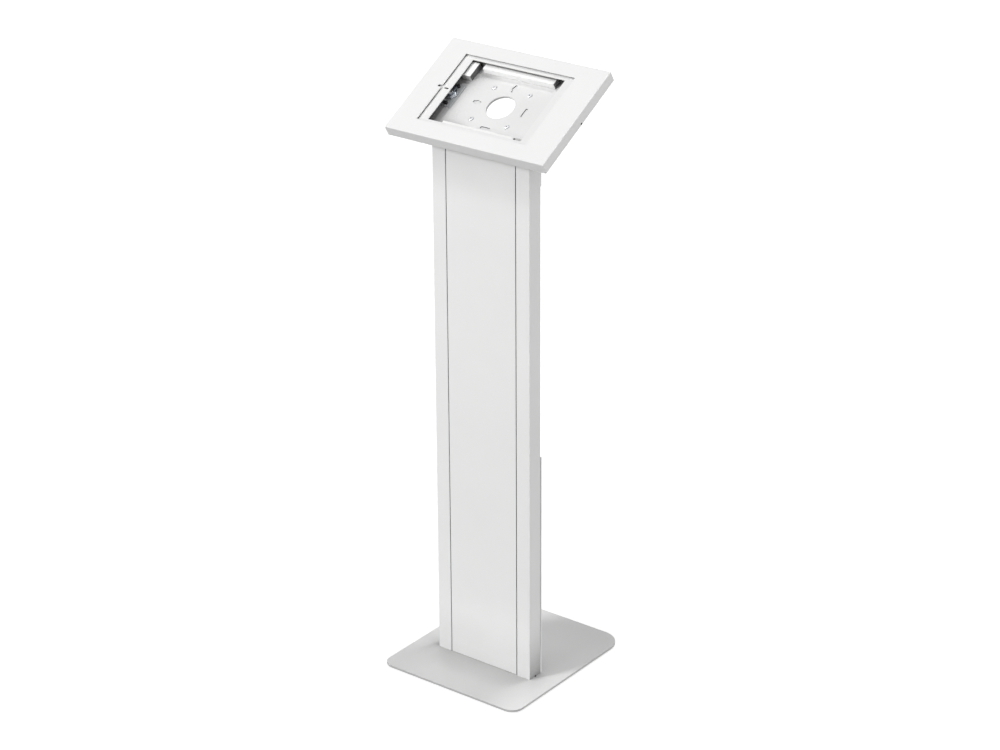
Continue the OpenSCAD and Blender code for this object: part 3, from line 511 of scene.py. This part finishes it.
def foam_piece(name, material, u, w, width, length, height, seed):
    """A strip of soft foam on the tray: rounded edges, a slight crown and hand-cut sides."""
    bm = rounded_grid(width, length, height)
    half = Vector((width / 2, length / 2, height / 2))
    for v in bm.verts:
        low = v.co.z < height * UNDERSIDE
        p = v.co - Vector((0, 0, half.z))
        core = Vector([max(-(h - FOAM_ROUND), min(h - FOAM_ROUND, c)) for c, h in zip(p, half)])
        off = p - core
        if off.length > FOAM_ROUND:
            p = core + off.normalized() * FOAM_ROUND
        across = 1.0 - min(1.0, abs(p.x) / half.x) ** FOAM_CROWN_POWER
        along = 1.0 - min(1.0, abs(p.y) / half.y) ** FOAM_CROWN_POWER
        if not low:
            p.z += FOAM_CROWN * across * along - FOAM_CROWN
        ripple = noise.noise(p * FOAM_WAVES_PER_METRE + Vector((seed, 0, 0)))
        wave = (ripple - FOAM_WAVE_MIDDLE) * FOAM_WAVE
        p.x += wave * (1 if p.x > 0 else -1)
        p.y += wave * (1 if p.y > 0 else -1)
        v.co = head_point(u + p.x, w + p.y, TRAY_DEPTH - (p.z + half.z))
    mesh = bpy.data.meshes.new(name)
    bmesh.ops.recalc_face_normals(bm, faces=bm.faces[:])
    bm.to_mesh(mesh)
    bm.free()
    for polygon in mesh.polygons:
        polygon.use_smooth = True
    piece = bpy.data.objects.new(name, mesh)
    bpy.context.scene.collection.objects.link(piece)
    mesh.materials.append(material)
    return piece


def head_box(node):
    """The lowest and highest u, w and d of a head node."""
    lowest, highest = [math.inf] * 3, [-math.inf] * 3
    for v in frame["nodes"][node].data.vertices:
        y, z = v.co.y - HEAD_Y, v.co.z - HEAD_Z
        w = y * math.cos(TILT) + z * math.sin(TILT)
        d = y * math.sin(TILT) - z * math.cos(TILT)
        lowest = [min(a, b) for a, b in zip(lowest, (v.co.x, w, d))]
        highest = [max(a, b) for a, b in zip(highest, (v.co.x, w, d))]
    return lowest, highest


def make_foam(material):
    pieces = {
        "foam_bar_top": material,
        "foam_bar_bottom": material,
        # The foam block's copy of the foam has painted shade on its sides and none under the bezel
        "foam_block": foamy("white_foam_block_painted_shade", 1.0, BLOCK_SIDES),
    }
    for seed, node in enumerate(pieces):
        lowest, highest = head_box(node)
        piece = foam_piece(
            node + "_soft", pieces[node],
            (lowest[0] + highest[0]) / 2, (lowest[1] + highest[1]) / 2,
            highest[0] - lowest[0], highest[1] - lowest[1], highest[2] - lowest[2],
            seed * FOAM_SEED_STEP,
        )
        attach(piece, "stand")
        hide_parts(node)


# Studio

WORLD_LEVEL = 0.09

# The floor: half its side, its height, its level under the stand's light and as the camera sees it,
# and the glow that brings it to white between two distances from the stand
FLOOR_HALF = 14.0
FLOOR_Z = -0.2 * MM
FLOOR_LEVEL = 0.14
FLOOR_SEEN_LEVEL = 0.35
FLOOR_GLOW = (0.86, 1.0)
FLOOR_GLOW_REACH = (0.5, 2.5)


def make_world():
    world = bpy.data.worlds.new("studio")
    bpy.context.scene.world = world
    n = Tree(world)
    output = n.add("ShaderNodeOutputWorld")
    n.link(n.camera_white(n.background(WORLD_LEVEL), n.background(1.0)), output, "Surface")


def floor_material():
    """Pale paint that keeps the stand's shadow; it runs out to white away from the stand."""
    material = bpy.data.materials.new("pale_floor")
    n = Tree(material)
    place = n.add("ShaderNodeTexCoord").outputs["Object"]
    distance = n.add("ShaderNodeVectorMath", operation="LENGTH")
    n.link(place, distance, 0)
    glow = n.add("ShaderNodeEmission")
    n.link(n.span(distance.outputs["Value"], *FLOOR_GLOW, *FLOOR_GLOW_REACH), glow, "Strength")
    both = n.add("ShaderNodeAddShader")
    n.link(n.diffuse(FLOOR_SEEN_LEVEL), both, 0)
    n.link(glow.outputs["Emission"], both, 1)
    output = n.add("ShaderNodeOutputMaterial")
    n.link(n.camera_white(n.diffuse(FLOOR_LEVEL), both.outputs["Shader"]), output, "Surface")
    return material


def make_floor():
    mesh = bpy.data.meshes.new("floor")
    corners = [(-1, -1), (1, -1), (1, 1), (-1, 1)]
    places = [(x * FLOOR_HALF, y * FLOOR_HALF, FLOOR_Z) for x, y in corners]
    mesh.from_pydata(places, [], [(0, 1, 2, 3)])
    mesh.materials.append(floor_material())
    floor = bpy.data.objects.new("floor", mesh)
    bpy.context.scene.collection.objects.link(floor)


# Name, place, size and power of each lamp, all aimed at the middle of the stand
LAMPS = (
    ("key_front_left", (-4.05, -7.16, 4.16), 1.6, 417.0),
    ("high_front_left", (-2.08, -3.68, 8.45), 1.6, 124.0),
    ("front_fill", (-1.24, -8.80, 1.91), 2.0, 138.0),
    ("top", (0.56, 1.12, 8.0), 0.5, 162.0),
    ("side_right", (7.88, -0.83, 1.71), 2.4, 319.0),
    ("back", (2.24, 6.16, 5.09), 2.0, 46.0),
    ("back_left", (-6.4, 6.4, 0.25), 0.4, 140.0),
)
AIM = Vector((0.0, 0.0, 0.5))


def make_lamps():
    for name, place, size, power in LAMPS:
        data = bpy.data.lights.new(name, "AREA")
        data.shape = "SQUARE"
        data.size = size
        data.energy = power
        lamp = bpy.data.objects.new(name, data)
        lamp.location = place
        lamp.rotation_mode = "QUATERNION"
        lamp.rotation_quaternion = (AIM - Vector(place)).to_track_quat("-Z", "Y")
        bpy.context.scene.collection.objects.link(lamp)
        lamp.visible_camera = False


def make_scene():
    make_camera()
    materials = {slot: make() for slot, make in FINISHES.items()}
    dress_nodes(materials)
    make_foam(materials["white_foam"])
    make_world()
    make_floor()
    make_lamps()
    bpy.context.scene.view_settings.view_transform = "Standard"


make_scene()
